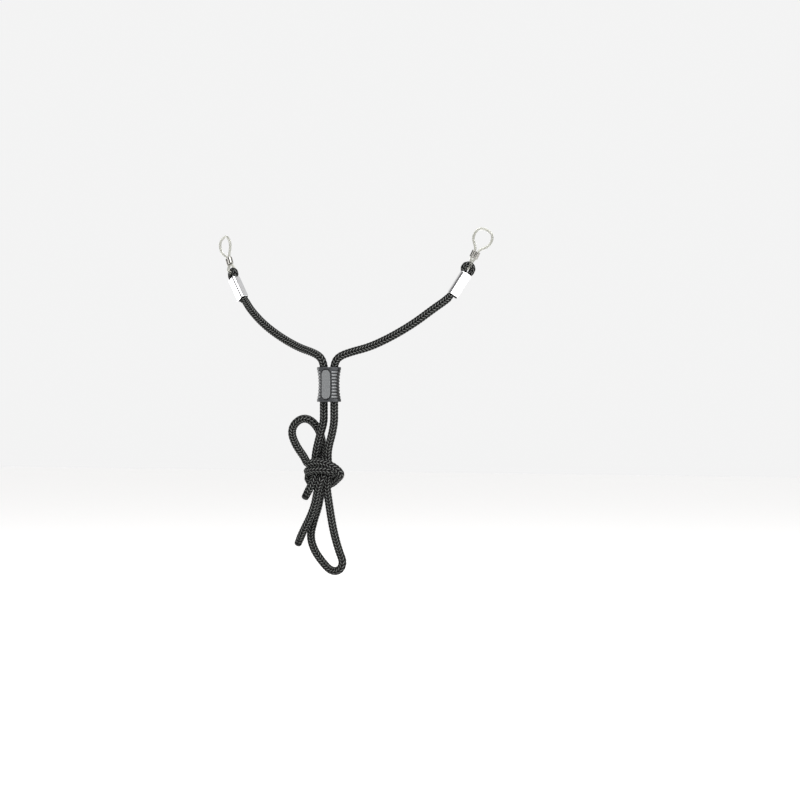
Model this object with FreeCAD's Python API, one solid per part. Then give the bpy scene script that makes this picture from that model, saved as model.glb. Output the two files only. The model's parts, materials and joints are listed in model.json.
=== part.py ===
import FreeCAD, Part
import math
import os

# Eyeglass retainer strap, in millimetres. The strap hangs as it is worn: +Z is up, +Y is the way
# the wearer faces, +X is the wearer's right. The origin is midway between the two temple loops.

Vector = FreeCAD.Vector
UP = Vector(0, 0, 1)

# --- cord -------------------------------------------------------------------------------------
CORD_D = 3.8
TIP_D = 3.7                 # the heat-sealed ends are a little thinner than the braid
TIP_LENGTH = 6.0
TIP_ROUNDING = 0.9

# --- slider -----------------------------------------------------------------------------------
SLIDER_CENTRE = Vector(0, -27.5, -72.6)
SLIDER_HEIGHT = 17.5
SLIDER_END = (12.6, 8.6)    # width and depth of the flared ends
SLIDER_WAIST = (11.0, 7.6)  # width and depth half way up
SLIDER_LIP = 1.7            # height of the plain collar at each end
BORE_SPREAD = 2.85          # from the slider's middle to each bore
BORE_D = CORD_D + 0.2
BORE_FLARE = 0.35
RIB_COUNT = 9
RIB_GAP = 0.75
RIB_DEPTH = 0.3
RIB_START_X = 3.0           # the grip ribs cover the two rounded sides, outside this width
PAD_WIDTH = 5.2
PAD_HEIGHT = 15.0
PAD_PROUD = 0.35

# --- ferrules: crimped tubes that close the folded cord ends ----------------------------------
FERRULE_RUN = Vector(6.5, 2.2, 10.8)   # from the lower mouth to the top
FERRULE_WIDTH = 5.8
FERRULE_DEPTH = 4.8
FERRULE_WALL = 0.4
FERRULE_CORNER = 1.3
CORD_OFFSET = 1.0           # the arm leaves the mouth off centre, beside the folded cord's cut end
CUT_END_LENGTH = 1.6

# --- cord eyes --------------------------------------------------------------------------------
LOOP_YAW = 30.0             # the eyes and temple loops face this far out from straight back
EYE_RADIUS = 2.2
EYE_CORD_D = 2.9            # the cord is pressed thinner where it turns tightly
EYE_RISE = 2.2              # the eye's centre, above the ferrule's top and outward of it
EYE_SHIFT = 0.76

# --- silicone temple loops --------------------------------------------------------------------
TEMPLE_CENTRE = Vector(71.8, 0, 0)      # where the right temple arm passes through its loop
LOOP_LEAN = 26.0
STRAND_D = 1.3
STRAND_SPREAD = 0.95        # from the loop's middle to each strand inside the sleeve
LINK_SWEEP = 115.0          # angle of each half of the link that goes round the cord
LOOP_NECK = 2.9             # heights above the link's centre
LOOP_SHOULDER = 9.9
LOOP_MIDDLE = 14.0
LOOP_TOP = 19.4
LOOP_HALF_WIDTH = 4.6

# --- sleeves ----------------------------------------------------------------------------------
SLEEVE_BASE = 3.9
SLEEVE_HEIGHT = 3.6
SLEEVE_BARREL_D = 2.5
SLEEVE_BORE_D = STRAND_D + 0.1

# --- cord routes ------------------------------------------------------------------------------
ARM_ROUTE = [(50.5, -12, -34.6), (41.5, -15.7, -41.9), (30.5, -18.5, -48.6), (19.5, -21, -53.8),
             (10.8, -24.3, -56.2), (5, -26.9, -58.6)]
BORE_TOP_Z = -62.4
STRAIGHT_END_Z = -91.6
LEFT_TAIL_ROUTE = [(-4.6, -28, -97.6), (-6.2, -28.5, -104.1), (-7.2, -28.5, -110.6)]
RIGHT_TAIL_ROUTE = [(2.2, -28, -97.6), (0.4, -28.5, -104.1), (-1.2, -28.5, -110.6)]
UPPER_LOOP_ROUTE = [(-5.5, -32.9, -111.6), (-11, -31.9, -109.9), (-15.4, -29.7, -105.9), (-18.8, -28.5, -101.6),
                    (-20.2, -28.5, -96.8), (-18.8, -28.3, -92.2), (-15, -27.5, -89.6), (-11, -26.3, -90.2),
                    (-8, -24.4, -93.8), (-6, -23.6, -98.6), (-5.2, -23.8, -104.1), (-5.2, -24.4, -109.6)]
SIDE_LOOP_ROUTE = [(0.6, -24.8, -122.6), (4.4, -26.1, -122.4), (7.4, -27.9, -119.4), (8, -30, -115.8),
                   (5.6, -31.5, -113.4), (1.5, -32.3, -112.4)]
LOWER_LOOP_ROUTE = [(-1, -28.8, -121.6), (0.2, -28.8, -130.6), (1.6, -28.5, -139.6), (3.8, -28.5, -148.6),
                    (6.4, -28.5, -156.6), (8.6, -28.5, -161.6), (6.6, -28.5, -166.4), (1.6, -28.5, -166.8),
                    (-3, -28.5, -162.4), (-8.4, -28.1, -156), (-11.6, -26.7, -149.2),
                    (-10.4, -25.3, -141.6), (-8, -24.5, -134.4), (-6.6, -24.3, -127.6), (-6.2, -24.3, -121.6)]
SHORT_END_ROUTE = [(-6.4, -31.5, -119.6), (-7.7, -32.8, -122.6), (-9, -34, -125.6), (-10.4, -35, -128.8)]
LONG_END_ROUTE = [(-4.9, -28.8, -122.6), (-5.2, -30, -127.6), (-6.4, -30.6, -133.1), (-8.9, -30.7, -138.9),
                  (-12, -30.5, -144.6), (-14.6, -29.9, -149.4), (-16.8, -29.1, -153.9)]
ARC_SHARE = 0.45            # part of the shorter run that each bend takes up

# --- bow knot: the outer shape of the tied cord ------------------------------------------------
KNOT_CENTRE = Vector(-4.2, -28.3, -117)
KNOT_SIZE = Vector(18.5, 13.5, 15.5)
KNOT_ROUNDING = 5.5

# --- axes and places that follow from the dimensions ---------------------------------------------
OUTWARD = Vector(math.cos(math.radians(LOOP_YAW)), math.sin(math.radians(LOOP_YAW)), 0)
LOOP_AXIS = UP * math.cos(math.radians(LOOP_LEAN)) + OUTWARD * math.sin(math.radians(LOOP_LEAN))
LOOP_SIDE = OUTWARD * math.cos(math.radians(LOOP_LEAN)) - UP * math.sin(math.radians(LOOP_LEAN))
LINK_CENTRE = TEMPLE_CENTRE - LOOP_AXIS * LOOP_MIDDLE
EYE_CENTRE = LINK_CENTRE - LOOP_AXIS * EYE_RADIUS
FERRULE_TOP = EYE_CENTRE - UP * EYE_RISE - OUTWARD * EYE_SHIFT
FERRULE_MOUTH = FERRULE_TOP - FERRULE_RUN
FERRULE_AXIS = Vector(FERRULE_RUN).normalize()
FERRULE_LENGTH = FERRULE_RUN.Length
FERRULE_SIDE = (OUTWARD - FERRULE_AXIS * OUTWARD.dot(FERRULE_AXIS)).normalize()
CORD_EXIT = FERRULE_MOUTH - FERRULE_SIDE * CORD_OFFSET


def cord_path(points, name=None):
    """Straight runs joined by tangent arcs, as one wire."""
    points = [Vector(*p) for p in points]
    edges = []
    radii = []
    start = points[0]
    for before, corner, after in zip(points, points[1:], points[2:]):
        incoming = (corner - before).normalize()
        outgoing = (after - corner).normalize()
        turn = incoming.getAngle(outgoing)
        cut = ARC_SHARE * min((corner - before).Length, (after - corner).Length)
        radius = cut / math.tan(turn / 2)
        radii.append(radius)
        arc_start = corner - incoming * cut
        arc_end = corner + outgoing * cut
        inward = (outgoing - incoming).normalize()
        arc_middle = corner + inward * (radius / math.cos(turn / 2) - radius)
        edges.append(Part.LineSegment(start, arc_start).toShape())
        edges.append(Part.Arc(arc_start, arc_middle, arc_end).toShape())
        start = arc_end
    edges.append(Part.LineSegment(start, points[-1]).toShape())
    if name and radii:
        print(f"{name}: bend radii {min(radii):.1f} to {max(radii):.1f} mm")
    return edges


def tube(edges, diameter):
    """A round bar that follows joined edges."""
    wire = Part.Wire(edges)
    start = edges[0].valueAt(edges[0].FirstParameter)
    direction = edges[0].tangentAt(edges[0].FirstParameter)
    profile = Part.Wire(Part.makeCircle(diameter / 2, start, direction))
    return wire.makePipeShell([profile], True, False)


def cord(points, name, diameter=CORD_D):
    edges = cord_path(points, name)
    solid = tube(edges, diameter)
    length = sum(edge.Length for edge in edges)
    ratio = solid.Volume / (math.pi * diameter ** 2 / 4 * length)
    print(f"{name}: {length:.1f} mm long, volume {ratio:.3f} of section times length")
    return solid


def mirrored(shape):
    return shape.mirror(Vector(0, 0, 0), Vector(1, 0, 0))


def placed(shape, origin, x_axis, z_axis):
    """Moves a shape from its own axes to the given origin and axes."""
    y_axis = z_axis.cross(x_axis)
    matrix = FreeCAD.Matrix(x_axis.x, y_axis.x, z_axis.x, origin.x,
                            x_axis.y, y_axis.y, z_axis.y, origin.y,
                            x_axis.z, y_axis.z, z_axis.z, origin.z,
                            0, 0, 0, 1)
    return shape.transformed(matrix)


def stadium(width, depth, z):
    """A slot-shaped outline, round at both ends."""
    flat = (width - depth) / 2
    radius = depth / 2
    front_right = Vector(flat, -radius, z)
    front_left = Vector(-flat, -radius, z)
    back_right = Vector(flat, radius, z)
    back_left = Vector(-flat, radius, z)
    return Part.Wire([
        Part.LineSegment(front_left, front_right).toShape(),
        Part.Arc(front_right, Vector(flat + radius, 0, z), back_right).toShape(),
        Part.LineSegment(back_right, back_left).toShape(),
        Part.Arc(back_left, Vector(-flat - radius, 0, z), front_left).toShape()])


def slider_shell(inset):
    """The waisted outer form, its surface moved in by the inset."""
    half = SLIDER_HEIGHT / 2
    sections = []
    for z, share in ((-half, 1.0), (-half + SLIDER_LIP, 0.82), (-half * 0.45, 0.2), (0, 0.0),
                     (half * 0.45, 0.2), (half - SLIDER_LIP, 0.82), (half, 1.0)):
        width = SLIDER_WAIST[0] + share * (SLIDER_END[0] - SLIDER_WAIST[0]) - 2 * inset
        depth = SLIDER_WAIST[1] + share * (SLIDER_END[1] - SLIDER_WAIST[1]) - 2 * inset
        sections.append(stadium(width, depth, z))
    return Part.makeLoft(sections, True, False)


def slider_ribs():
    """The gaps between the grip ribs, for cutting."""
    core = slider_shell(RIB_DEPTH)
    span = SLIDER_HEIGHT - 2 * SLIDER_LIP
    pitch = span / RIB_COUNT
    side = SLIDER_END[0]
    gaps = []
    for index in range(RIB_COUNT):
        z = -span / 2 + (index + 0.5) * pitch - RIB_GAP / 2
        for x in (RIB_START_X, -RIB_START_X - side):
            gaps.append(Part.makeBox(side, 2 * side, RIB_GAP, Vector(x, -side, z)))
    return Part.makeCompound(gaps).cut(core)


def slider_pad():
    """The raised oval on the slider's back face."""
    outline = stadium(PAD_HEIGHT, PAD_WIDTH, 0)
    slab = Part.Face(outline).extrude(Vector(0, 0, SLIDER_END[1]))
    slab = placed(slab, Vector(0, 0, 0), UP, Vector(0, -1, 0))
    return slab.common(slider_shell(-PAD_PROUD))


def bore(x):
    """One cord hole with a small flare at each mouth."""
    radius = BORE_D / 2
    half = SLIDER_HEIGHT / 2
    hole = Part.makeCylinder(radius, SLIDER_HEIGHT + 2, Vector(x, 0, -half - 1))
    top = Part.makeCone(radius, radius + BORE_FLARE, BORE_FLARE, Vector(x, 0, half - BORE_FLARE))
    bottom = Part.makeCone(radius + BORE_FLARE, radius, BORE_FLARE, Vector(x, 0, -half))
    return hole.fuse([top, bottom])


def slider():
    body = slider_shell(0).cut(slider_ribs()).fuse(slider_pad())
    for x in (BORE_SPREAD, -BORE_SPREAD):
        body = body.cut(bore(x))
    body.translate(SLIDER_CENTRE)
    return body


def rounded_bar(width, depth, length, corner):
    """A bar with rounded long edges, standing on z = 0."""
    bar = Part.makeBox(width, depth, length, Vector(-width / 2, -depth / 2, 0))
    upright = [edge for edge in bar.Edges if abs(edge.tangentAt(0).z) > 0.9]
    return bar.makeFillet(corner, upright)


def right_ferrule():
    outer = rounded_bar(FERRULE_WIDTH, FERRULE_DEPTH, FERRULE_LENGTH, FERRULE_CORNER)
    inner = rounded_bar(FERRULE_WIDTH - 2 * FERRULE_WALL, FERRULE_DEPTH - 2 * FERRULE_WALL,
                        FERRULE_LENGTH, FERRULE_CORNER - FERRULE_WALL)
    return placed(outer.cut(inner), FERRULE_MOUTH, FERRULE_SIDE, FERRULE_AXIS)


def right_eye(arm):
    """The folded cord: its eye above the ferrule, the crimped part inside and the cut end."""
    inner = rounded_bar(FERRULE_WIDTH - 2 * FERRULE_WALL, FERRULE_DEPTH - 2 * FERRULE_WALL,
                        FERRULE_LENGTH + CUT_END_LENGTH, FERRULE_CORNER - FERRULE_WALL)
    base = FERRULE_MOUTH - FERRULE_AXIS * CUT_END_LENGTH
    crimped = placed(inner, base, FERRULE_SIDE, FERRULE_AXIS).cut(arm)
    facing = OUTWARD.cross(UP)
    ring = Part.makeTorus(EYE_RADIUS, EYE_CORD_D / 2, EYE_CENTRE, facing)
    below = placed(Part.makeBox(20, 20, 20, Vector(-10, -10, -20)), FERRULE_TOP, FERRULE_SIDE, FERRULE_AXIS)
    eye = crimped.fuse(ring.cut(below))
    return max(eye.Solids, key=lambda solid: solid.Volume)


def arm_points():
    """From the ferrule mouth round the neck and down through the slider."""
    first = CORD_EXIT - FERRULE_AXIS * 3.0
    above = Vector(BORE_SPREAD, SLIDER_CENTRE.y, BORE_TOP_Z)
    bore_middle = Vector(BORE_SPREAD, SLIDER_CENTRE.y, SLIDER_CENTRE.z)
    return [CORD_EXIT, first] + [Vector(*p) for p in ARM_ROUTE] + [above, bore_middle]


def tail_points(route, side):
    bore_middle = Vector(side * BORE_SPREAD, SLIDER_CENTRE.y, SLIDER_CENTRE.z)
    straight_end = Vector(side * BORE_SPREAD, SLIDER_CENTRE.y, STRAIGHT_END_Z)
    return [bore_middle, straight_end] + route


def loop_point(side, facing, height):
    """A point of the temple loop: across it, out of its plane, and along it from the link."""
    normal = LOOP_SIDE.cross(LOOP_AXIS)
    return LINK_CENTRE + LOOP_SIDE * side + normal * facing + LOOP_AXIS * height


def half_loop():
    """Half of the silicone ring, from under the cord to the ring's top."""
    sweep = math.radians(LINK_SWEEP)
    on_link = [loop_point(0, EYE_RADIUS * math.sin(a), -EYE_RADIUS * math.cos(a))
               for a in (0, sweep / 2, sweep)]
    link = Part.Arc(*on_link).toShape()
    lead = 1.3
    bend = loop_point(0, EYE_RADIUS * math.sin(sweep) + lead * math.cos(sweep),
                      -EYE_RADIUS * math.cos(sweep) + lead * math.sin(sweep))
    rest = cord_path([on_link[2], bend,
                      loop_point(STRAND_SPREAD, 0, LOOP_NECK),
                      loop_point(STRAND_SPREAD, 0, LOOP_SHOULDER),
                      loop_point(LOOP_HALF_WIDTH * 0.7, 0, LOOP_SHOULDER + 1.4),
                      loop_point(LOOP_HALF_WIDTH, 0, LOOP_MIDDLE),
                      loop_point(LOOP_HALF_WIDTH * 0.95, 0, LOOP_TOP - 2.4),
                      loop_point(LOOP_HALF_WIDTH * 0.6, 0, LOOP_TOP),
                      loop_point(0, 0, LOOP_TOP)])
    return tube([link] + rest, STRAND_D)


def right_temple_loop():
    half = half_loop()
    other = half.copy()
    other.rotate(LINK_CENTRE, LOOP_AXIS, 180)
    return half.fuse(other)


def right_sleeve():
    """Two short barrels side by side that hold the loop's strands together."""
    sides = (-STRAND_SPREAD, STRAND_SPREAD)
    barrels = [Part.makeCylinder(SLEEVE_BARREL_D / 2, SLEEVE_HEIGHT, Vector(x, 0, 0)) for x in sides]
    bores = [Part.makeCylinder(SLEEVE_BORE_D / 2, SLEEVE_HEIGHT, Vector(x, 0, 0)) for x in sides]
    sleeve = barrels[0].fuse(barrels[1]).removeSplitter().cut(bores)
    return placed(sleeve, loop_point(0, 0, SLEEVE_BASE), LOOP_SIDE, LOOP_AXIS)


def split_tip(route):
    """The last run of a cord end, split into the braid and its heat-sealed tip."""
    last = Vector(*route[-1])
    direction = (last - Vector(*route[-2])).normalize()
    joint = last - direction * TIP_LENGTH
    if (last - Vector(*route[-2])).Length <= TIP_LENGTH:
        joint = (last + Vector(*route[-2])) / 2
    return joint, direction


def cord_end(route, name):
    """A free cord end: the braided stretch, and its rounded, sealed tip."""
    joint, direction = split_tip(route)
    last = Vector(*route[-1])
    braid = cord(route[:-1] + [joint], name)
    tip = Part.makeCylinder(TIP_D / 2, (last - joint).Length, joint, direction)
    rim = [edge for edge in tip.Edges
           if edge.Closed and (edge.valueAt(edge.FirstParameter) - last).dot(direction) > -0.01]
    return braid, tip.makeFillet(TIP_ROUNDING, rim)


def bow_knot(cords):
    """The tied bundle, hollowed where the cords enter it."""
    knot = Part.makeBox(*KNOT_SIZE, KNOT_CENTRE - KNOT_SIZE / 2)
    knot = knot.makeFillet(KNOT_ROUNDING, knot.Edges)
    knot = knot.cut(cords)
    return max(knot.Solids, key=lambda solid: solid.Volume)


def build():
    right_arm = cord(arm_points(), "right_arm")
    eye = right_eye(right_arm)
    ferrule = right_ferrule()
    temple_loop = right_temple_loop()
    sleeve = right_sleeve()
    left_tail = cord(tail_points(LEFT_TAIL_ROUTE, -1), "left_tail")
    right_tail = cord(tail_points(RIGHT_TAIL_ROUTE, 1), "right_tail")
    upper_loop = cord(UPPER_LOOP_ROUTE, "upper_loop")
    side_loop = cord(SIDE_LOOP_ROUTE, "side_loop")
    lower_loop = cord(LOWER_LOOP_ROUTE, "lower_loop")
    short_end, short_tip = cord_end(SHORT_END_ROUTE, "short_end")
    long_end, long_tip = cord_end(LONG_END_ROUTE, "long_end")
    bundle = [left_tail, right_tail, upper_loop, side_loop, lower_loop, short_end, long_end]
    return {
        "slider": slider(),
        "right_arm": right_arm,
        "left_arm": mirrored(right_arm),
        "left_tail": left_tail,
        "right_tail": right_tail,
        "bow_knot": bow_knot(bundle),
        "upper_loop": upper_loop,
        "side_loop": side_loop,
        "lower_loop": lower_loop,
        "short_end": short_end,
        "short_tip": short_tip,
        "long_end": long_end,
        "long_tip": long_tip,
        "right_eye": eye,
        "left_eye": mirrored(eye),
        "right_ferrule": ferrule,
        "left_ferrule": mirrored(ferrule),
        "right_temple_loop": temple_loop,
        "left_temple_loop": mirrored(temple_loop),
        "right_sleeve": sleeve,
        "left_sleeve": mirrored(sleeve),
    }


os.makedirs("parts", exist_ok=True)
for node, shape in build().items():
    print(f"{node}: {len(shape.Solids)} solid, valid {shape.isValid()}, {shape.Volume:.1f} mm3")
    shape.exportStep(f"parts/{node}.step")
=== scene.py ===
"""The looks of an eyeglass retainer strap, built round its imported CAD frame."""

import json
import math

import bmesh
import bpy
import numpy as np
from mathutils import Matrix, Vector


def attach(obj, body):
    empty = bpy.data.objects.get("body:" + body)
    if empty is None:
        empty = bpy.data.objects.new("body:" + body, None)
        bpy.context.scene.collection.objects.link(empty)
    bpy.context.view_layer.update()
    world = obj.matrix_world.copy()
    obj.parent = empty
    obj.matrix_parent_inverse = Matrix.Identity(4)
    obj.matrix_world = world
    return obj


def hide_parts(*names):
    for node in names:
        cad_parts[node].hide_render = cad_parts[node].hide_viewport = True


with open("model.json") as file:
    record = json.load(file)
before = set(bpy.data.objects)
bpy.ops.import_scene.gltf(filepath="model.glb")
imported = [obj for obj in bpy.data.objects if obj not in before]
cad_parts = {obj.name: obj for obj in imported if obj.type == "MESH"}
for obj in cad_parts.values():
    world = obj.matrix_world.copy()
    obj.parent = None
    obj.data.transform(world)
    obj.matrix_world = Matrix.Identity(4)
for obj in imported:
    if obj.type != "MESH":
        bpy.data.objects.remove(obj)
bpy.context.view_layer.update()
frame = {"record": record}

MM = 0.001
UP = Vector((0, 0, 1))

# --- camera, floor and lights -----------------------------------------------------------------
VIEW_AZIMUTH = math.radians(22)
CAMERA_DISTANCE = 1089.5 * MM
CAMERA_RIGHT = 25.4 * MM
CAMERA_DROP = 80.4 * MM
CAMERA_LENS = 95.2
FLOOR_Z = -264 * MM
FLOOR_REACH = 4.0
FLOOR_GLOW = 0.415
WALL_STRENGTH = 0.90           # the white wall behind the strap
ROOM_STRENGTH = 0.20           # the dimmer room in front of it
# name, azimuth and elevation in degrees, distance and size in metres, power in watts
SOFT_BOXES = (("key", 8, 56, 1.2, (0.95, 1.1), 22),
              ("low_right", 40, -4, 0.9, (0.5, 0.3), 2.5),
              ("low_left", -94, -4, 0.9, (0.4, 0.3), 2.5),
              ("side", 78, 24, 1.1, (0.4, 0.8), 9),
              ("top", 180, 62, 1.2, (0.8, 0.5), 6))

# --- cord -------------------------------------------------------------------------------------
CORE_RADIUS = 1.75 * MM        # radius in the valleys between the braid's strands
STRAND_RELIEF = 0.34 * MM
STITCH_PITCH = 1.62 * MM
STITCH_SLANT = 1.15            # rise of a stitch across its column, in pitches
STITCH_COLUMNS = 8
STITCH_HALF_WIDTH = 0.40       # of a stitch's ridge, in pitches
STITCH_END_HEIGHT = 0.72       # a stitch's relief at its ends
STITCH_CROWN = 0.28            # what its middle adds to that
ZIGZAG_FADE = 4 * MM           # the stitches flatten out over this length at each end
VERTS_PER_COLUMN = 5
ROWS_PER_STITCH = 8
TIP_LENGTH = 6.0 * MM
TIP_RADIUS = 1.88 * MM
TIP_ROUNDING = 1.35 * MM
TIP_CAP_ANGLES = (18, 36, 52, 66, 80)
TIP_PAINTED_SHEEN = 0.83            # the sealed tip's place on the yarn's dark to light scale: a dark grey that stands in for its soft highlight, a painted sheen

# --- fittings: the part's own dimensions, and fine detail that only the looks have --------------
LOOP_YAW = math.radians(30)
LOOP_LEAN = math.radians(26)
LOOP_MIDDLE = 14.0 * MM
EYE_RADIUS = 2.2 * MM
EYE_CORD_SHARE = 2.9 / 3.8     # the cord is pressed thinner where it turns tightly
EYE_RISE = 2.2 * MM
EYE_SHIFT = 0.76 * MM
RING_REACH = EYE_RADIUS / math.cos(math.radians(22))   # control points lie outside their ring
FERRULE_RUN = Vector((6.5, 2.2, 10.8)) * MM
FERRULE_WIDTH = 5.8 * MM
FERRULE_DEPTH = 4.8 * MM
FERRULE_WALL = 0.4 * MM
FERRULE_CORNER = 1.3 * MM
FERRULE_CRIMP = 0.10 * MM
FERRULE_SEAM_DEPTH = 0.10 * MM
FERRULE_SEAM_WIDTH = 0.16 * MM
CORD_OFFSET = 1.0 * MM
CORD_INSIDE = 1.5 * MM         # how far each cord starts inside its ferrule
BORE_SPREAD = 2.85             # in millimetres, as in the routes
SLIDER_Y = -27.5               # in millimetres, as in the routes
SLIDER_CENTRE = Vector((0, SLIDER_Y, -72.6)) * MM
SLIDER_HEIGHT = 17.5 * MM
SLIDER_END = (12.6 * MM, 8.6 * MM)
SLIDER_WAIST = (11.0 * MM, 7.6 * MM)
SLIDER_LIP = 1.7 * MM
SLIDER_ROUNDING = 0.45 * MM
SLIDER_COLUMNS = 240
BORE_D = 4.0 * MM
BORE_FLARE = 0.35 * MM
# the ribs and the pad differ a little from the plain ones of the part
RIB_COUNT = 9
RIB_DEPTH = 0.34 * MM
RIB_START_X = 2.9 * MM
RIB_FADE = 0.5 * MM
PAD_SIZE = (4.6 * MM, 14.5 * MM)
PAD_PROUD = 0.3 * MM
PAD_EDGE = 0.3 * MM
GROOVE_DEPTH = 0.16 * MM       # of the groove round the pad
GROOVE_OFFSET = 0.38 * MM
GROOVE_WIDTH = 0.26 * MM
STRAND_D = 1.3 * MM
STRAND_SPREAD = 0.95 * MM
LOOP_HALF_WIDTH = 4.6 * MM
LOOP_SHOULDER = 9.9 * MM
LOOP_TOP = 19.4 * MM
SLEEVE_BASE = 3.9 * MM
SLEEVE_HEIGHT = 3.6 * MM
SLEEVE_BARREL_D = 2.5 * MM
SLEEVE_BORE_D = 1.4 * MM

OUTWARD = Vector((math.cos(LOOP_YAW), math.sin(LOOP_YAW), 0))
LOOP_AXIS = UP * math.cos(LOOP_LEAN) + OUTWARD * math.sin(LOOP_LEAN)
LOOP_SIDE = OUTWARD * math.cos(LOOP_LEAN) - UP * math.sin(LOOP_LEAN)
LOOP_NORMAL = LOOP_SIDE.cross(LOOP_AXIS)
RIGHT_ARM_MOUNT = next(m for m in frame["record"]["mounts"] if m["name"] == "right_temple_arm")
TEMPLE_CENTRE = Vector(RIGHT_ARM_MOUNT["pos_m"])
LINK_CENTRE = TEMPLE_CENTRE - LOOP_AXIS * LOOP_MIDDLE
EYE_CENTRE = LINK_CENTRE - LOOP_AXIS * EYE_RADIUS
FERRULE_TOP = EYE_CENTRE - UP * EYE_RISE - OUTWARD * EYE_SHIFT
FERRULE_MOUTH = FERRULE_TOP - FERRULE_RUN
FERRULE_AXIS = FERRULE_RUN.normalized()
FERRULE_SIDE = (OUTWARD - FERRULE_AXIS * OUTWARD.dot(FERRULE_AXIS)).normalized()
FERRULE_FACING = FERRULE_AXIS.cross(FERRULE_SIDE)
CORD_EXIT = FERRULE_MOUTH - FERRULE_SIDE * CORD_OFFSET

# --- cord routes, in millimetres: arms and bores as in the part, the bow as its real strands -----
ARM_ROUTE = [(50.5, -12, -34.6), (41.5, -15.7, -41.9), (30.5, -18.5, -48.6), (19.5, -21, -53.8),
             (10.8, -24.3, -56.2), (5, -26.9, -58.6)]
BORE_ROUTE = [(BORE_SPREAD, SLIDER_Y, height) for height in (-62.4, -67.1, -86.6, -91.6)]
LEFT_TAIL_ROUTE = [(-4.6, -28, -97.6), (-6.2, -28.5, -104.1), (-7.2, -28.3, -109.1), (-7.6, -27.7, -113.2),
                   (-8.6, -27.5, -116.2), (-11, -27.7, -117.8), (-11.4, -28, -120.4), (-9, -28.1, -122.6),
                   (-5.2, -27.5, -123.2)]
RIGHT_TAIL_ROUTE = [(1.9, -28, -97.6), (0.1, -28.5, -104.1), (-0.4, -28.5, -110.1), (0.5, -27.7, -115.4)]
SIDE_LOOP_ROUTE = [(-1.9, -26.2, -123.4), (1, -26, -122.4), (3.6, -26.4, -120.5), (7.6, -29, -117.7),
                   (5.2, -31.5, -114.3), (1.6, -32.5, -112.5), (-2.6, -33.1, -111.4), (-6.6, -33, -111.8)]
UPPER_LOOP_ROUTE = [(-9.8, -32.1, -112.7), (-12.2, -30.7, -109.2), (-16.2, -29.4, -105),
                    (-19.2, -28.5, -100.6), (-20.3, -28.5, -96.4), (-18.8, -28.3, -92.4),
                    (-15, -27.5, -89.6), (-11, -26.3, -90.2),
                    (-8, -24.4, -93.8), (-6, -23.6, -98.6), (-5.2, -23.8, -104.1), (-4.6, -24.9, -108.8)]
SHORT_END_ROUTE = [(-4.5, -27.5, -112.8), (-4.9, -29.7, -116.2), (-5.8, -31.6, -119.4), (-7, -33.1, -122.8),
                   (-8.4, -34.6, -126.4), (-9.9, -36, -130.2)]
LOWER_LOOP_ROUTE = [(-0.5, -28.3, -120.6), (-0.6, -28.9, -125.2), (0.3, -28.8, -130.6),
                    (1.6, -28.5, -139.6),
                    (3.5, -28.5, -148.6), (6.1, -28.5, -156.6), (8.3, -28.5, -161.6), (6.4, -28.5, -166),
                    (1.6, -28.5, -166.4), (-3, -28.5, -162.2), (-8, -28.1, -156), (-10.8, -26.7, -149.2),
                    (-9.5, -25.3, -141.6), (-7.2, -24.5, -134.4), (-6.2, -24.3, -128.6)]
WRAP_ROUTE = [(-5.8, -23.1, -125), (-4.8, -21.5, -121), (-1.6, -21.3, -117.6), (2, -23.5, -115.9),
              (4, -27.5, -115.9), (2.6, -31.5, -115.6), (-1, -33.1, -115.2), (-5.4, -33.2, -115.3),
              (-9.2, -31.7, -116.1), (-11.6, -28.5, -116.4), (-11.4, -25.3, -115.8), (-8.8, -24, -116),
              (-5.4, -24.7, -116.6), (-2.6, -26.5, -117.2), (-1.7, -29.4, -117.8)]
LONG_END_ROUTE = [(-2.2, -31.6, -119.8), (-3.6, -31.9, -123.2), (-4.9, -31.4, -127.4), (-6.3, -30.8, -133),
                  (-8.8, -30.7, -139.1), (-12, -30.5, -144.8), (-14.6, -29.9, -149.4),
                  (-16.8, -29.1, -153.9)]


def mirror_x(point):
    """A route's point moved to the left-hand side."""
    return Vector((-point[0], point[1], point[2]))


def metres(points):
    return [Vector(p) * MM for p in points]


def read_spline(points):
    """Points along the smooth line that a route's points control."""
    curve = bpy.data.curves.new("route", "CURVE")
    curve.dimensions = "3D"
    spline = curve.splines.new("NURBS")
    spline.points.add(len(points) - 1)
    for control, point in zip(spline.points, points):
        control.co = (*point, 1)
    spline.order_u = 3
    spline.use_endpoint_u = True
    spline.resolution_u = 24
    holder = bpy.data.objects.new("route", curve)
    bpy.context.scene.collection.objects.link(holder)
    mesh = bpy.data.meshes.new_from_object(holder)
    line = [vertex.co.copy() for vertex in mesh.vertices]
    bpy.data.objects.remove(holder)
    bpy.data.curves.remove(curve)
    bpy.data.meshes.remove(mesh)
    return line


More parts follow.
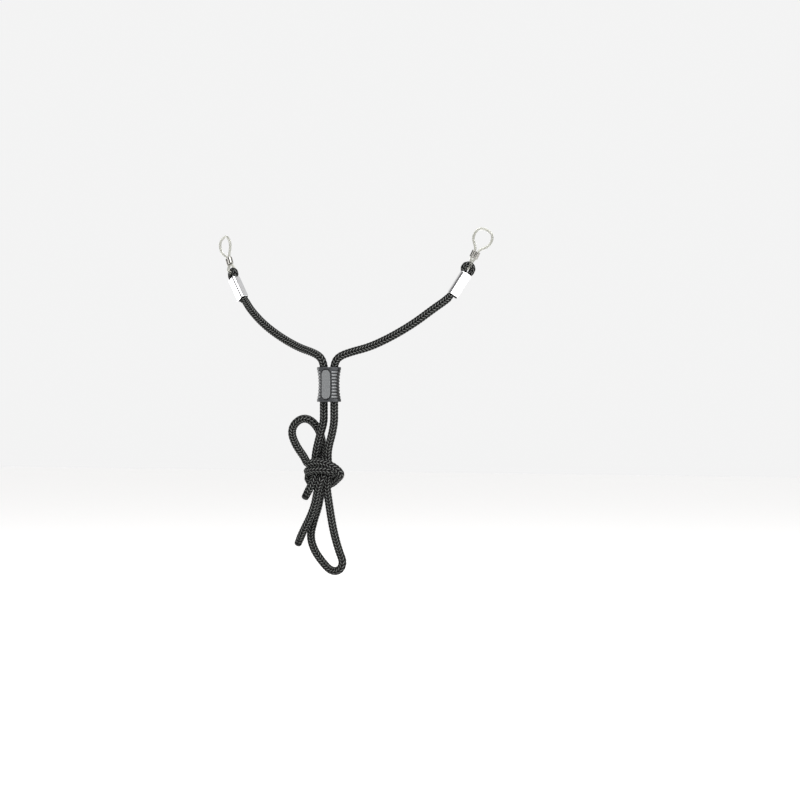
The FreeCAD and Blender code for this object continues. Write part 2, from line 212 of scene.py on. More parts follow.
class Rail:
    """A line with a turning-free frame at every distance along it."""

    def __init__(self, line, facing):
        points = np.array([tuple(p) for p in line])
        steps = np.linalg.norm(np.diff(points, axis=0), axis=1)
        keep = np.r_[True, steps > 1e-9]
        points = points[keep]
        distance = np.r_[0, np.cumsum(np.linalg.norm(np.diff(points, axis=0), axis=1))]
        self.length = distance[-1]
        count = int(self.length / (0.15 * MM)) + 2
        self.at = np.linspace(0, self.length, count)
        self.points = np.stack([np.interp(self.at, distance, points[:, k]) for k in range(3)], axis=1)
        tangents = np.gradient(self.points, axis=0)
        for _ in range(3):
            tangents[1:-1] = (tangents[:-2] + 2 * tangents[1:-1] + tangents[2:]) / 4
        self.tangents = tangents / np.linalg.norm(tangents, axis=1)[:, None]
        self.normals = self.carry(np.array(tuple(facing)))
        self.binormals = np.cross(self.tangents, self.normals)

    def carry(self, facing):
        normals = np.zeros_like(self.points)
        normal = facing
        for index, tangent in enumerate(self.tangents):
            normal = normal - tangent * normal.dot(tangent)
            normal = normal / np.linalg.norm(normal)
            normals[index] = normal
        return normals

    def place(self, distance, sideways, forwards):
        """World points at distances along the line, moved across it."""
        def sample(field):
            return np.stack([np.interp(distance, self.at, field[:, k]) for k in range(3)], axis=-1)
        normal = sample(self.normals)
        binormal = sample(self.binormals)
        return sample(self.points) + normal * forwards[..., None] + binormal * sideways[..., None]


def skin(name, grid, capped=True, uv=None, relief=None):
    """A tube of quads through rows of points, as a smooth-shaded object."""
    rows, columns, _ = grid.shape
    verts = grid.reshape(-1, 3)
    row = np.arange(rows - 1)[:, None] * columns
    near = np.arange(columns)[None, :]
    far = (near + 1) % columns
    faces = np.stack([row + near, row + far, row + columns + far, row + columns + near], axis=-1)
    faces = faces.reshape(-1, 4).tolist()
    extra = []
    for first in (0, (rows - 1) * columns):
        if capped:
            centre = len(verts) + len(extra)
            extra.append(verts[first:first + columns].mean(axis=0))
            ring = list(range(first, first + columns))
            for a, b in zip(ring, ring[1:] + ring[:1]):
                faces.append([b, a, centre] if first == 0 else [a, b, centre])
    if extra:
        verts = np.vstack([verts, extra])
    mesh = bpy.data.meshes.new(name)
    mesh.from_pydata(verts.tolist(), [], faces)
    mesh.shade_smooth()
    if relief is not None:
        values = np.r_[relief.reshape(-1), np.zeros(len(extra))]
        # the cord and slider materials turn this value into painted shade and painted highlights
        layer = mesh.attributes.new("relief", "FLOAT", "POINT")
        layer.data.foreach_set("value", values.astype(np.float32))
    if uv is not None:
        layer = mesh.uv_layers.new(name="weave")
        corner_vertex = np.zeros(len(mesh.loops), dtype=np.int32)
        mesh.loops.foreach_get("vertex_index", corner_vertex)
        u, v = uv
        u = np.r_[u.reshape(-1), np.zeros(len(extra))]
        v = np.r_[v.reshape(-1), np.zeros(len(extra))]
        coords = np.stack([u[corner_vertex], v[corner_vertex]], axis=1)
        layer.data.foreach_set("uv", coords.astype(np.float32).reshape(-1))
    mesh.validate()
    obj = bpy.data.objects.new(name, mesh)
    bpy.context.scene.collection.objects.link(obj)
    return obj


def ease(value):
    """0 below 0, 1 above 1 and a smooth rise between."""
    value = np.clip(value, 0, 1)
    return value * value * (3 - 2 * value)


def braid(name, line, facing, radius_steps, sealed_end=False, squeeze_both=False):
    """A round braid along a line, in columns of slanted stitches that meet in V's.

    The rows of vertices zigzag with the stitches, so each stitch is a clean ridge. radius_steps
    gives the share of the full radius at distances along the line."""
    rail = Rail(line, facing)
    end = rail.length - (TIP_ROUNDING if sealed_end else 0)
    row_count = int(end / (STITCH_PITCH / ROWS_PER_STITCH))
    row_at = np.linspace(0, end, row_count + 1)
    columns = STITCH_COLUMNS * VERTS_PER_COLUMN
    around = np.arange(columns)
    angle = 2 * np.pi * around / columns
    column = around // VERTS_PER_COLUMN
    share = (around % VERTS_PER_COLUMN) / VERTS_PER_COLUMN
    rising = column % 2 == 1
    zigzag = (np.where(rising, share, 1 - share) - 0.5) * STITCH_SLANT
    fade = ease(row_at / ZIGZAG_FADE) * ease((end - row_at) / ZIGZAG_FADE)
    at = row_at[:, None] + fade[:, None] * zigzag[None, :] * STITCH_PITCH
    phase = np.repeat(np.arange(row_count + 1)[:, None] / ROWS_PER_STITCH, columns, axis=1)
    across = np.sqrt(np.clip(1 - ((phase % 1.0 - 0.5) / STITCH_HALF_WIDTH) ** 2, 0, 1))
    along = np.sin(np.pi * share) ** 0.5
    relief = across * (STITCH_END_HEIGHT + STITCH_CROWN * along)[None, :]
    relief = relief * (ease((rail.length - row_at) / TIP_LENGTH)[:, None] if sealed_end else 1.0)
    full = CORE_RADIUS + STRAND_RELIEF * relief
    if sealed_end:
        melt = 1 - ease((rail.length - row_at) / TIP_LENGTH)
        full = full + (TIP_RADIUS - CORE_RADIUS) * melt[:, None]
        # the sealed tip is raised to a painted sheen, a dark grey
        relief = relief + TIP_PAINTED_SHEEN * melt[:, None]
    steps_at = [step[0] for step in radius_steps]
    steps = [step[1] for step in radius_steps]
    squeeze = np.interp(row_at, steps_at, steps)
    if squeeze_both:
        squeeze = np.minimum(squeeze, np.interp(end - row_at, steps_at, steps))
    radius = full * squeeze[:, None]
    if sealed_end:
        cap = np.radians(np.array(TIP_CAP_ANGLES))
        cap_at = end + TIP_ROUNDING * np.sin(cap)
        cap_radius = TIP_RADIUS - TIP_ROUNDING + TIP_ROUNDING * np.cos(cap)
        at = np.vstack([at, np.repeat(cap_at[:, None], columns, axis=1)])
        radius = np.vstack([radius, np.repeat(cap_radius[:, None], columns, axis=1)])
        # the rounded cap gets the same painted sheen
        relief = np.vstack([relief, np.full((len(cap), columns), TIP_PAINTED_SHEEN)])
        phase = np.vstack([phase, np.zeros((len(cap), columns))])
    grid = rail.place(at, radius * np.sin(angle), radius * np.cos(angle))
    uv = (phase, np.broadcast_to(share, phase.shape))
    obj = skin(name, grid, uv=uv, relief=relief)
    return obj, [Vector(p) for p in rail.points[::4]], rail.length


# --- materials ----------------------------------------------------------------------------------
def new_material(name, **values):
    """A Principled material with plain values set on its own sockets."""
    material = bpy.data.materials.new(name)
    material.use_nodes = True
    shader = material.node_tree.nodes["Principled BSDF"]
    for key, value in values.items():
        shader.inputs[key.replace("_", " ")].default_value = value
    return material, material.node_tree, shader


def cord_material():
    """Black polyester yarn: fine filaments along each stitch, with painted shade between the stitches and
    painted highlights on their crests.
    """
    material, tree, shader = new_material("braided_cord")
    nodes = tree.nodes
    link = tree.links.new
    relief = nodes.new("ShaderNodeAttribute")
    relief.attribute_name = "relief"
    weave = nodes.new("ShaderNodeUVMap")
    weave.uv_map = "weave"
    stretch = nodes.new("ShaderNodeMapping")
    stretch.inputs["Scale"].default_value = (26, 1.3, 1)
    link(weave.outputs["UV"], stretch.inputs["Vector"])
    filaments = nodes.new("ShaderNodeTexNoise")
    filaments.inputs["Scale"].default_value = 1.0
    filaments.inputs["Detail"].default_value = 2.0
    link(stretch.outputs["Vector"], filaments.inputs["Vector"])
    place = nodes.new("ShaderNodeTexCoord")
    patches = nodes.new("ShaderNodeTexNoise")
    patches.inputs["Scale"].default_value = 900.0
    patches.inputs["Detail"].default_value = 3.0
    link(place.outputs["Object"], patches.inputs["Vector"])
    # painted shade, near black, in the valleys between the stitches, rising to painted highlights on the
    # stitch crests
    depth = nodes.new("ShaderNodeValToRGB")
    depth.color_ramp.elements[0].position = 0.80
    depth.color_ramp.elements[0].color = (0.0008, 0.0008, 0.0008, 1)
    depth.color_ramp.elements[1].position = 1.0
    depth.color_ramp.elements[1].color = (0.165, 0.17, 0.162, 1)
    link(relief.outputs["Fac"], depth.inputs["Fac"])
    vary = nodes.new("ShaderNodeMix")
    vary.data_type = "RGBA"
    vary.blend_type = "MULTIPLY"
    vary.inputs["Factor"].default_value = 0.55
    link(depth.outputs["Color"], vary.inputs["A"])
    link(patches.outputs["Fac"], vary.inputs["B"])
    link(vary.outputs["Result"], shader.inputs["Base Color"])
    rough = nodes.new("ShaderNodeMapRange")
    rough.inputs["To Min"].default_value = 0.36
    rough.inputs["To Max"].default_value = 0.62
    link(filaments.outputs["Fac"], rough.inputs["Value"])
    link(rough.outputs["Result"], shader.inputs["Roughness"])
    bump = nodes.new("ShaderNodeBump")
    bump.inputs["Strength"].default_value = 0.5
    bump.inputs["Distance"].default_value = 0.00005
    link(filaments.outputs["Fac"], bump.inputs["Height"])
    link(bump.outputs["Normal"], shader.inputs["Normal"])
    shader.inputs["Specular IOR Level"].default_value = 0.06
    return material


def noisy_material(name, low, high, scale, rough, bump_mm, **values):
    """A surface whose colour, roughness and grain vary with one fine noise."""
    material, tree, shader = new_material(name, **values)
    nodes = tree.nodes
    link = tree.links.new
    place = nodes.new("ShaderNodeTexCoord")
    noise = nodes.new("ShaderNodeTexNoise")
    noise.inputs["Scale"].default_value = scale
    noise.inputs["Detail"].default_value = 4.0
    link(place.outputs["Object"], noise.inputs["Vector"])
    colour = nodes.new("ShaderNodeValToRGB")
    colour.color_ramp.elements[0].position = 0.3
    colour.color_ramp.elements[0].color = (*low, 1)
    colour.color_ramp.elements[1].position = 0.7
    colour.color_ramp.elements[1].color = (*high, 1)
    link(noise.outputs["Fac"], colour.inputs["Fac"])
    link(colour.outputs["Color"], shader.inputs["Base Color"])
    spread = nodes.new("ShaderNodeMapRange")
    spread.inputs["To Min"].default_value = rough[0]
    spread.inputs["To Max"].default_value = rough[1]
    link(noise.outputs["Fac"], spread.inputs["Value"])
    link(spread.outputs["Result"], shader.inputs["Roughness"])
    bump = nodes.new("ShaderNodeBump")
    bump.inputs["Strength"].default_value = 0.35
    bump.inputs["Distance"].default_value = bump_mm * MM
    link(noise.outputs["Fac"], bump.inputs["Height"])
    link(bump.outputs["Normal"], shader.inputs["Normal"])
    return material


def slider_material():
    """Charcoal plastic, with a painted sheen on the thumb pad and rib crests and painted shade down in the
    grooves.
    """
    material, tree, shader = new_material("slider_plastic", Specular_IOR_Level=0.2)
    nodes = tree.nodes
    link = tree.links.new
    painted_light = nodes.new("ShaderNodeAttribute")
    painted_light.attribute_name = "relief"
    # the ramp runs from painted shade in the grooves through the body's own charcoal to a painted sheen on
    # the pad and rib crests
    tone = nodes.new("ShaderNodeValToRGB")
    tone.color_ramp.elements[0].position = 0.0
    tone.color_ramp.elements[0].color = (0.002, 0.002, 0.002, 1)
    tone.color_ramp.elements[1].position = 1.0
    tone.color_ramp.elements[1].color = (0.185, 0.190, 0.193, 1)
    body = tone.color_ramp.elements.new(0.3)
    body.color = (0.014, 0.015, 0.017, 1)
    link(painted_light.outputs["Fac"], tone.inputs["Fac"])
    link(tone.outputs["Color"], shader.inputs["Base Color"])
    place = nodes.new("ShaderNodeTexCoord")
    grain = nodes.new("ShaderNodeTexNoise")
    grain.inputs["Scale"].default_value = 1500.0
    grain.inputs["Detail"].default_value = 3.0
    link(place.outputs["Object"], grain.inputs["Vector"])
    rough = nodes.new("ShaderNodeMapRange")
    rough.inputs["To Min"].default_value = 0.34
    rough.inputs["To Max"].default_value = 0.44
    link(grain.outputs["Fac"], rough.inputs["Value"])
    link(rough.outputs["Result"], shader.inputs["Roughness"])
    bump = nodes.new("ShaderNodeBump")
    bump.inputs["Strength"].default_value = 0.3
    bump.inputs["Distance"].default_value = 0.004 * MM
    link(grain.outputs["Fac"], bump.inputs["Height"])
    link(bump.outputs["Normal"], shader.inputs["Normal"])
    return material


def ferrule_material():
    return noisy_material("plated_metal", (0.56, 0.56, 0.57), (0.62, 0.62, 0.62), 400,
                          (0.16, 0.21), 0.0006, Metallic=1.0)


def sleeve_material():
    return noisy_material("nickel", (0.24, 0.235, 0.22), (0.30, 0.29, 0.27), 400,
                          (0.20, 0.26), 0.0006, Metallic=1.0)


def silicone_material():
    return noisy_material("clear_silicone", (0.48, 0.48, 0.43), (0.54, 0.54, 0.49), 250,
                          (0.10, 0.14), 0.001, Transmission_Weight=0.95, IOR=1.41)


def dress(obj, material, slot, body, *nodes):
    """Gives a piece its material and body, and hides the nodes that it replaces. Its slot is not used."""
    obj.data.materials.clear()
    obj.data.materials.append(material)
    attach(obj, body)
    if nodes:
        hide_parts(*nodes)


# --- stage ------------------------------------------------------------------------------------------
def add_camera():
    right = Vector((math.cos(VIEW_AZIMUTH), math.sin(VIEW_AZIMUTH), 0))
    back = Vector((math.sin(VIEW_AZIMUTH), -math.cos(VIEW_AZIMUTH), 0))
    camera = bpy.data.objects.new("camera", bpy.data.cameras.new("camera"))
    bpy.context.scene.collection.objects.link(camera)
    camera.location = back * CAMERA_DISTANCE + right * CAMERA_RIGHT - UP * CAMERA_DROP
    camera.rotation_euler = (math.pi / 2, 0, VIEW_AZIMUTH)
    camera.data.lens = CAMERA_LENS
    camera.data.sensor_width = 36
    bpy.context.scene.camera = camera


def add_floor():
    """A seamless pale floor."""
    mesh = bpy.data.meshes.new("floor")
    corners = [(x * FLOOR_REACH, y * FLOOR_REACH, FLOOR_Z) for x, y in ((-1, -1), (1, -1), (1, 1), (-1, 1))]
    mesh.from_pydata(corners, [], [(0, 1, 2, 3)])
    floor = bpy.data.objects.new("floor", mesh)
    bpy.context.scene.collection.objects.link(floor)
    material, _, shader = new_material("floor", Roughness=0.9)
    shader.inputs["Base Color"].default_value = (0.80, 0.795, 0.79, 1)
    shader.inputs["Emission Color"].default_value = (1, 0.995, 0.99, 1)
    shader.inputs["Emission Strength"].default_value = FLOOR_GLOW
    mesh.materials.append(material)


def add_area_light(name, azimuth, elevation, distance, size, power):
    """A soft box that faces the strap."""
    data = bpy.data.lights.new(name, "AREA")
    data.shape = "RECTANGLE"
    data.size = size[0]
    data.size_y = size[1]
    data.energy = power
    light = bpy.data.objects.new(name, data)
    bpy.context.scene.collection.objects.link(light)
    azimuth = math.radians(azimuth)
    elevation = math.radians(elevation)
    away = Vector((math.sin(azimuth) * math.cos(elevation), -math.cos(azimuth) * math.cos(elevation),
                   math.sin(elevation)))
    target = Vector((0, SLIDER_Y * MM, -80 * MM))
    light.location = target + away * distance
    light.rotation_euler = away.to_track_quat("Z", "Y").to_euler()


def add_lights():
    """A white studio wall behind the strap, a dimmer room in front of it, and soft boxes."""
    bpy.context.scene.view_settings.view_transform = "Standard"
    world = bpy.data.worlds.new("world")
    bpy.context.scene.world = world
    world.use_nodes = True
    tree = world.node_tree
    background = tree.nodes["Background"]
    place = tree.nodes.new("ShaderNodeTexCoord")
    apart = tree.nodes.new("ShaderNodeSeparateXYZ")
    tree.links.new(place.outputs["Generated"], apart.inputs["Vector"])
    ramp = tree.nodes.new("ShaderNodeMapRange")
    ramp.interpolation_type = "SMOOTHSTEP"
    ramp.inputs["From Min"].default_value = -0.35
    ramp.inputs["From Max"].default_value = 0.25
    ramp.inputs["To Min"].default_value = ROOM_STRENGTH
    ramp.inputs["To Max"].default_value = WALL_STRENGTH
    tree.links.new(apart.outputs["Y"], ramp.inputs["Value"])
    tree.links.new(ramp.outputs["Result"], background.inputs["Strength"])
    background.inputs["Color"].default_value = (1.0, 1.0, 1.0, 1)
    for soft_box in SOFT_BOXES:
        add_area_light(*soft_box)


# --- pieces -----------------------------------------------------------------------------------------
def cord_route(side, tail):
    """One whole cord: out of its ferrule, round the neck, through the slider and the bow."""
    def sided(point):
        return Vector(point) if side > 0 else mirror_x(point)
    start = [CORD_EXIT + FERRULE_AXIS * CORD_INSIDE, CORD_EXIT, CORD_EXIT - FERRULE_AXIS * 3 * MM]
    start = [sided(p) for p in start]
    arm = [sided(p) for p in metres(ARM_ROUTE + BORE_ROUTE)]
    return start + arm + metres(tail)


def add_cords(material):
    left_route = cord_route(-1, LEFT_TAIL_ROUTE + SIDE_LOOP_ROUTE + UPPER_LOOP_ROUTE + SHORT_END_ROUTE)
    right_route = cord_route(1, RIGHT_TAIL_ROUTE + LOWER_LOOP_ROUTE + WRAP_ROUTE + LONG_END_ROUTE)
    mouth = [(0, 0.8), (CORD_INSIDE, 0.84), (4 * MM, 1.0)]
    toward_view = Vector((math.sin(VIEW_AZIMUTH), -math.cos(VIEW_AZIMUTH), 0))
    cords = (("left_cord", left_route, ("left_arm", "left_tail", "upper_loop", "side_loop", "short_end",
                                        "short_tip")),
             ("right_cord", right_route, ("right_arm", "right_tail", "lower_loop", "long_end", "long_tip",
                                          "bow_knot")))
    for name, route, nodes in cords:
        obj, path, length = braid(name, read_spline(route), toward_view, mouth, sealed_end=True)
        dress(obj, material, "cord", "cord_set", *nodes)


def mirror_x_mesh(obj, name):
    """The left-hand twin of a right-hand piece."""
    mesh = obj.data.copy()
    mesh.transform(Matrix.Scale(-1, 4, (1, 0, 0)))
    mesh.flip_normals()
    twin = bpy.data.objects.new(name, mesh)
    bpy.context.scene.collection.objects.link(twin)
    return twin


def eye_path():
    """The folded cord: up out of the ferrule, round its eye and down again."""
    ring = [EYE_CENTRE + (OUTWARD * math.cos(math.radians(a)) + UP * math.sin(math.radians(a))) * RING_REACH
            for a in range(-48, 217, 44)]
    inside = [FERRULE_TOP + FERRULE_SIDE * side * 1.36 * MM - FERRULE_AXIS * depth * MM
              for side in (1, -1) for depth in (4.5, 1.0)]
    return [inside[0], inside[1]] + ring + [inside[3], inside[2]]


def add_eyes(material):
    line = read_spline(eye_path())
    squeeze = [(0, 0.52), (3.4 * MM, 0.54), (5.4 * MM, EYE_CORD_SHARE * 1.08), (7 * MM, EYE_CORD_SHARE)]
    obj, _, _ = braid("right_eye_braid", line, OUTWARD.cross(UP), squeeze, squeeze_both=True)
    dress(obj, material, "cord", "cord_set", "right_eye")
    dress(mirror_x_mesh(obj, "left_eye_braid"), material, "cord", "cord_set", "left_eye")


def add_cut_ends(material):
    """The folded cord's cut end, showing under the ferrule beside the arm."""
    offset = FERRULE_SIDE * 1.62 * MM
    line = [FERRULE_MOUTH + offset + FERRULE_AXIS * height * MM for height in (2.5, 1.2, 0, -0.4, -0.8)]
    squeeze = [(0, 0.42), (2.0 * MM, 0.42), (4 * MM, 0.56)]
    obj, _, _ = braid("right_cut_end", line, FERRULE_FACING, squeeze)
    dress(obj, material, "cord", "cord_set")
    dress(mirror_x_mesh(obj, "left_cut_end"), material, "cord", "cord_set")


def rounded_outline(width, depth, corner, per_corner=8, per_side=6):
    """Points round a rectangle with rounded corners, and the outward direction at each."""
    points = []
    for turn, (sx, sy) in enumerate(((1, 1), (-1, 1), (-1, -1), (1, -1))):
        middle = np.array([sx * (width / 2 - corner), sy * (depth / 2 - corner)])
        for step in range(per_corner + 1):
            angle = math.pi / 2 * (turn + step / per_corner)
            out = np.array([math.cos(angle), math.sin(angle)])
            points.append((middle + out * corner, out))
        # the flat side to the next corner
        angle = math.pi / 2 * (turn + 1)
        out = np.array([math.cos(angle), math.sin(angle)])
        along = np.array([-out[1], out[0]])
        run = (depth if turn % 2 else width) - 2 * corner
        first = middle + out * corner
        for step in range(1, per_side):
            points.append((first + along * run * step / per_side, out))
    places = np.array([p for p, _ in points])
    outward = np.array([o for _, o in points])
    return places, outward


def to_axes(local, origin, x_axis, z_axis):
    y_axis = z_axis.cross(x_axis)
    axes = np.array([tuple(x_axis), tuple(y_axis), tuple(z_axis)])
    return local @ axes + np.array(tuple(origin))


def ferrule_mesh():
    """A flattened metal tube with rolled rims, a lengthwise seam and a shallow crimp."""
    length = FERRULE_RUN.length
    places, outward = rounded_outline(FERRULE_WIDTH, FERRULE_DEPTH, FERRULE_CORNER)
    half_wall = FERRULE_WALL / 2
    flat_width = FERRULE_WIDTH - 2 * FERRULE_CORNER
    profile = [(half_wall * (1 - math.cos(a)), half_wall * (1 - math.sin(a)))
               for a in np.linspace(0, math.pi / 2, 6)]
    outside = profile + [(h, 0) for h in np.linspace(half_wall, length - half_wall, 40)[1:-1]]
    outside += [(length - h, inset) for h, inset in reversed(profile)]
    inside = [(length - h, FERRULE_WALL - inset) for h, inset in profile[1:]]
    inside += [(h, FERRULE_WALL - inset) for h, inset in reversed(profile[1:])]
    rows = outside + inside
    grid = np.zeros((len(rows), len(places), 3))
    for index, (height, inset) in enumerate(rows):
        share = math.sin(math.pi * height / length)
        hollow = np.cos(np.pi * np.clip(places[:, 0] / flat_width, -0.5, 0.5))
        crimp = FERRULE_CRIMP * ease(share * 1.4) * hollow * (np.abs(outward[:, 1]) > 0.95)
        seam = FERRULE_SEAM_DEPTH * np.exp(-(places[:, 0] / FERRULE_SEAM_WIDTH) ** 2)
        seam = seam * (outward[:, 1] > 0.95)
        depth = inset + crimp + (seam if inset < half_wall else 0)
        flat = places - outward * depth[:, None]
        grid[index, :, :2] = flat
        grid[index, :, 2] = height
    return to_axes(grid.reshape(-1, 3), FERRULE_MOUTH, FERRULE_SIDE, FERRULE_AXIS).reshape(grid.shape)


def add_ferrules(material):
    grid = ferrule_mesh()
    grid = np.concatenate([grid, grid[:1]])
    obj = skin("right_ferrule_tube", grid, capped=False)
    weld(obj)
    dress(obj, material, "ferrule", "cord_set", "right_ferrule")
    dress(mirror_x_mesh(obj, "left_ferrule_tube"), material, "ferrule", "cord_set", "left_ferrule")


def weld(obj):
    mesh = bmesh.new()
    mesh.from_mesh(obj.data)
    bmesh.ops.remove_doubles(mesh, verts=mesh.verts, dist=1e-6)
    bmesh.ops.recalc_face_normals(mesh, faces=mesh.faces)
    mesh.to_mesh(obj.data)
    mesh.free()


def loop_point(side, facing, height):
    """A point of the temple loop: across it, out of its plane, and along it from the link."""
    return LINK_CENTRE + LOOP_SIDE * side + LOOP_NORMAL * facing + LOOP_AXIS * height


def temple_loop_path():
    """The silicone ring: a link round the cord's eye, a narrow neck and an open loop."""
    half = []
    for angle in (22, 66, 108):
        a = math.radians(angle)
        half.append((0, RING_REACH * math.sin(a), -RING_REACH * math.cos(a)))
    half += [(STRAND_SPREAD * 0.5, 1.0 * MM, 2.5 * MM), (STRAND_SPREAD, 0, 3.6 * MM),
             (STRAND_SPREAD, 0, 6.0 * MM), (STRAND_SPREAD, 0, LOOP_SHOULDER - 1.2 * MM),
             (LOOP_HALF_WIDTH * 0.62, 0, LOOP_SHOULDER + 0.9 * MM),
             (LOOP_HALF_WIDTH * 1.03, 0, LOOP_MIDDLE - 0.8 * MM),
             (LOOP_HALF_WIDTH * 1.0, 0, LOOP_TOP - 2.0 * MM),
             (LOOP_HALF_WIDTH * 0.52, 0, LOOP_TOP + 0.15 * MM)]
    other = [(-side, -facing, height) for side, facing, height in reversed(half)]
    return [loop_point(*p) for p in half + other]


def add_temple_loops(material):
    curve = bpy.data.curves.new("right_loop_tube", "CURVE")
    curve.dimensions = "3D"
    spline = curve.splines.new("NURBS")
    route = temple_loop_path()
    spline.points.add(len(route) - 1)
    for control, point in zip(spline.points, route):
        control.co = (*point, 1)
    spline.order_u = 3
    spline.use_cyclic_u = True
    spline.resolution_u = 8
    curve.bevel_depth = STRAND_D / 2
    curve.bevel_resolution = 5
    holder = bpy.data.objects.new("right_loop_tube", curve)
    bpy.context.scene.collection.objects.link(holder)
    mesh = bpy.data.meshes.new_from_object(holder)
    bpy.data.objects.remove(holder)
    mesh.shade_smooth()
    obj = bpy.data.objects.new("right_silicone_loop", mesh)
    bpy.context.scene.collection.objects.link(obj)
    dress(obj, material, "silicone", "right_loop", "right_temple_loop")
    dress(mirror_x_mesh(obj, "left_silicone_loop"), material, "silicone", "left_loop", "left_temple_loop")


def cutter(radius, flare, length, centre, x_axis, z_axis):
    """A round bar that widens towards both ends, for cutting a hole with eased mouths."""
    half = length / 2
    rows = [(-half - 1 * MM, flare), (-half, flare), (-half + flare * 0.35, flare * 0.35),
            (-half + flare, 0), (half - flare, 0), (half - flare * 0.35, flare * 0.35),
            (half, flare), (half + 1 * MM, flare)]
    angle = np.linspace(0, 2 * np.pi, 48, endpoint=False)
    grid = np.zeros((len(rows), len(angle), 3))
    for index, (height, wider) in enumerate(rows):
        grid[index, :, 0] = (radius + wider) * np.cos(angle)
        grid[index, :, 1] = (radius + wider) * np.sin(angle)
        grid[index, :, 2] = height
    grid = to_axes(grid.reshape(-1, 3), centre, x_axis, z_axis).reshape(grid.shape)
    obj = skin("cutter", grid)
    weld(obj)
    return obj


def cut(obj, cutters):
    """Takes the cutters out of a closed piece."""
    for tool in cutters:
        modifier = obj.modifiers.new("cut", "BOOLEAN")
        modifier.operation = "DIFFERENCE"
        modifier.solver = "EXACT"
        modifier.object = tool
    bpy.context.view_layer.update()
    evaluated = obj.evaluated_get(bpy.context.evaluated_depsgraph_get())
    mesh = bpy.data.meshes.new_from_object(evaluated)
    obj.modifiers.clear()
    obj.data = mesh
    for tool in cutters:
        bpy.data.objects.remove(tool)
    return obj


def smooth_by_angle(obj, degrees):
    mesh = bmesh.new()
    mesh.from_mesh(obj.data)
    for face in mesh.faces:
        face.smooth = True
    limit = math.radians(degrees)
    for edge in mesh.edges:
        edge.smooth = len(edge.link_faces) == 2 and edge.calc_face_angle() < limit
    mesh.to_mesh(obj.data)
    mesh.free()


def add_sleeves(material):
    """Two short nickel barrels side by side round the loop's strands."""
    angle = np.linspace(0, 2 * np.pi, 96, endpoint=False)
    radius = SLEEVE_BARREL_D / 2
    reach = np.abs(np.cos(angle)) * STRAND_SPREAD
    outline = reach + np.sqrt(radius ** 2 - (STRAND_SPREAD * np.sin(angle)) ** 2)
    rim = 0.16 * MM
    rows = [(rim * (1 - math.cos(a)), rim * (1 - math.sin(a))) for a in np.linspace(0, math.pi / 2, 5)]
    rows += [(h, 0) for h in np.linspace(rim, SLEEVE_HEIGHT - rim, 12)[1:-1]]
    rows += [(SLEEVE_HEIGHT - h, inset) for h, inset in reversed(rows[:5])]
    grid = np.zeros((len(rows), len(angle), 3))
    for index, (height, inset) in enumerate(rows):
        grid[index, :, 0] = (outline - inset) * np.cos(angle)
        grid[index, :, 1] = (outline - inset) * np.sin(angle)
        grid[index, :, 2] = height
    grid = to_axes(grid.reshape(-1, 3), loop_point(0, 0, SLEEVE_BASE), LOOP_SIDE, LOOP_AXIS)
    obj = skin("right_sleeve_barrels", grid.reshape(len(rows), len(angle), 3))
    weld(obj)
    middle = SLEEVE_BASE + SLEEVE_HEIGHT / 2
    cutters = [cutter(SLEEVE_BORE_D / 2, 0.12 * MM, SLEEVE_HEIGHT, loop_point(side, 0, middle),
                      LOOP_SIDE, LOOP_AXIS) for side in (-STRAND_SPREAD, STRAND_SPREAD)]
    cut(obj, cutters)
    smooth_by_angle(obj, 50)
    dress(obj, material, "sleeve", "right_sleeve", "right_sleeve")
    dress(mirror_x_mesh(obj, "left_sleeve_barrels"), material, "sleeve", "left_sleeve", "left_sleeve")


def stadium_outline(width, depth, count):
    """Evenly spaced points round a slot shape, with the outward direction at each."""
    radius = depth / 2
    flat = width / 2 - radius
    arc = math.pi * radius
    total = 4 * flat + 2 * arc
    places = np.zeros((count, 2))
    outward = np.zeros((count, 2))
    for index in range(count):
        s = (index / count) * total
        if s < 2 * flat:                                   # back face, from right to left
            place, out = (flat - s, radius), (0, 1)
        elif s < 2 * flat + arc:
            a = math.pi / 2 + (s - 2 * flat) / radius
            out = (math.cos(a), math.sin(a))
            place = (-flat + radius * out[0], radius * out[1])
        elif s < 4 * flat + arc:
            place, out = (-flat + (s - 2 * flat - arc), -radius), (0, -1)
        else:
            a = -math.pi / 2 + (s - 4 * flat - arc) / radius
            out = (math.cos(a), math.sin(a))
            place = (flat + radius * out[0], radius * out[1])
        places[index] = place
        outward[index] = out
    return places, outward


def slider_heights():
    """Heights of the slider's rows, closer together where its lips are rounded."""
    half = SLIDER_HEIGHT / 2
    insets = [SLIDER_ROUNDING * (1 - math.cos(a)) for a in np.linspace(0, math.pi / 2, 6)[:-1]]
    middle = list(np.linspace(-half + SLIDER_ROUNDING, half - SLIDER_ROUNDING, 170))
    return [inset - half for inset in insets] + middle + [half - inset for inset in reversed(insets)]


def slider_flare(heights):
    """How far the slider has widened at each height, from its waist (0) to its lips (1)."""
    half = SLIDER_HEIGHT / 2
    known = (-half, -half + SLIDER_LIP, -half * 0.45, 0, half * 0.45, half - SLIDER_LIP, half)
    fine = np.linspace(-half, half, 200)
    flare = np.interp(fine, known, (1.0, 0.80, 0.2, 0.0, 0.2, 0.80, 1.0))
    for _ in range(60):
        flare[1:-1] = (flare[:-2] + 2 * flare[1:-1] + flare[2:]) / 4
    return np.interp(heights, fine, flare)


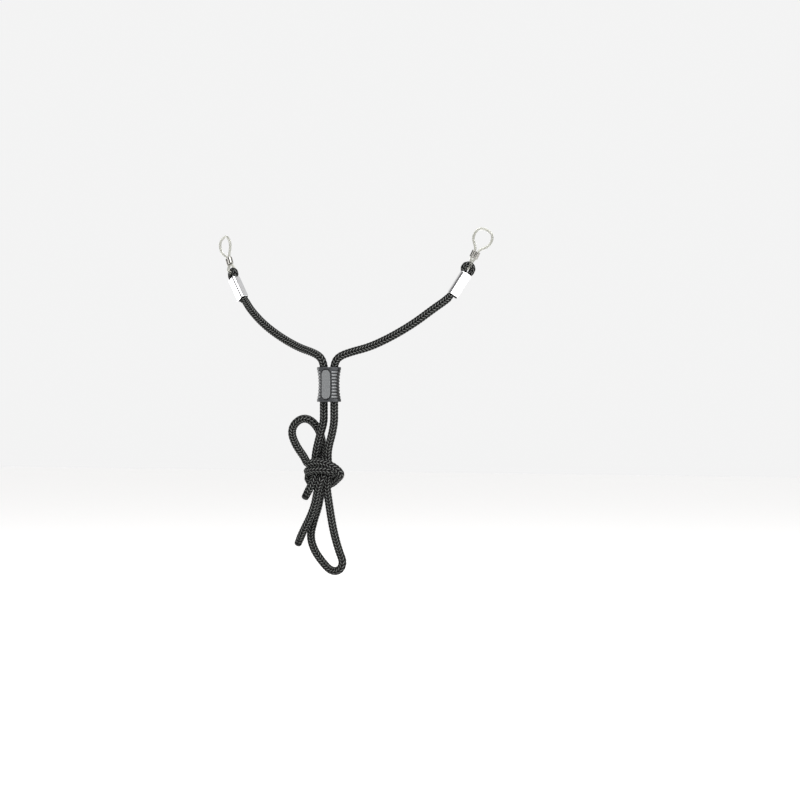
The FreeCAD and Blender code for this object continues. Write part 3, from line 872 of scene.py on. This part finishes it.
def slider_row(z, share):
    """One row round the slider: its points, and the painted light at each, from painted shade in a groove
    to a painted sheen on the pad.
    """
    half = SLIDER_HEIGHT / 2
    width = SLIDER_WAIST[0] + share * (SLIDER_END[0] - SLIDER_WAIST[0])
    depth = SLIDER_WAIST[1] + share * (SLIDER_END[1] - SLIDER_WAIST[1])
    places, outward = stadium_outline(width, depth, SLIDER_COLUMNS)
    edge = max(0.0, abs(z) - (half - SLIDER_ROUNDING))
    rounding = SLIDER_ROUNDING - math.sqrt(max(SLIDER_ROUNDING ** 2 - edge ** 2, 0))

    span = SLIDER_HEIGHT - 2 * SLIDER_LIP
    in_span = 1.0 if abs(z) < span / 2 else 0.0
    on_side = ease((np.abs(places[:, 0]) - RIB_START_X) / RIB_FADE)
    wave = (0.5 - 0.5 * math.cos(2 * math.pi * (z + span / 2) / span * RIB_COUNT)) ** 0.8
    ribs = RIB_DEPTH * on_side * (1 - wave) * in_span

    on_front = outward[:, 1] < -0.5
    pad_z = max(0.0, abs(z) - (PAD_SIZE[1] - PAD_SIZE[0]) / 2)
    from_rim = np.hypot(places[:, 0], pad_z) - PAD_SIZE[0] / 2
    raised = ease(-from_rim / PAD_EDGE + 0.5)
    groove = np.exp(-((from_rim - GROOVE_OFFSET) / GROOVE_WIDTH) ** 2)
    pad = np.where(on_front, PAD_PROUD * raised - GROOVE_DEPTH * groove, 0)

    # rib crests turned towards the front get painted highlights, and the rib valleys get painted shade
    facing = ease((np.abs(outward[:, 1]) - 0.25) / 0.7)
    painted_rib_light_and_shade = on_side * in_span * (0.62 * facing * wave - 0.30 * (1 - wave))
    # the front face: a painted sheen on the raised pad and painted shade in the groove round it
    front = 0.36 + painted_rib_light_and_shade + 0.36 * raised - 0.36 * groove
    # the sides sit a little darker than the front face, and their ribbed parts turned away from the front
    # darker still: painted shade
    elsewhere = 0.3 + painted_rib_light_and_shade - 0.2 * on_side * (1 - facing)
    painted_light = np.where(on_front, front, elsewhere)
    return places + outward * (pad - ribs - rounding)[:, None], painted_light


def add_slider(material):
    """The moulded slide lock: flared lips, grip ribs on its sides and a raised oval pad."""
    heights = slider_heights()
    grid = np.zeros((len(heights), SLIDER_COLUMNS, 3))
    # each row's painted light: painted shade in the grooves, a painted sheen on the pad and rib crests
    painted_light = np.zeros((len(heights), SLIDER_COLUMNS))
    for index, (z, share) in enumerate(zip(heights, slider_flare(heights))):
        grid[index, :, :2], painted_light[index] = slider_row(z, share)
        grid[index, :, 2] = z
    grid = grid + np.array(tuple(SLIDER_CENTRE))
    obj = skin("slide_lock", grid, relief=painted_light)
    weld(obj)
    bores = [cutter(BORE_D / 2, BORE_FLARE, SLIDER_HEIGHT, SLIDER_CENTRE + Vector((x * MM, 0, 0)),
                    Vector((1, 0, 0)), UP) for x in (-BORE_SPREAD, BORE_SPREAD)]
    cut(obj, bores)
    smooth_by_angle(obj, 40)
    dress(obj, material, "slider", "slider", "slider")


def main():
    add_camera()
    add_floor()
    add_lights()
    cord = cord_material()
    add_cords(cord)
    add_eyes(cord)
    add_cut_ends(cord)
    add_ferrules(ferrule_material())
    add_temple_loops(silicone_material())
    add_sleeves(sleeve_material())
    add_slider(slider_material())


main()
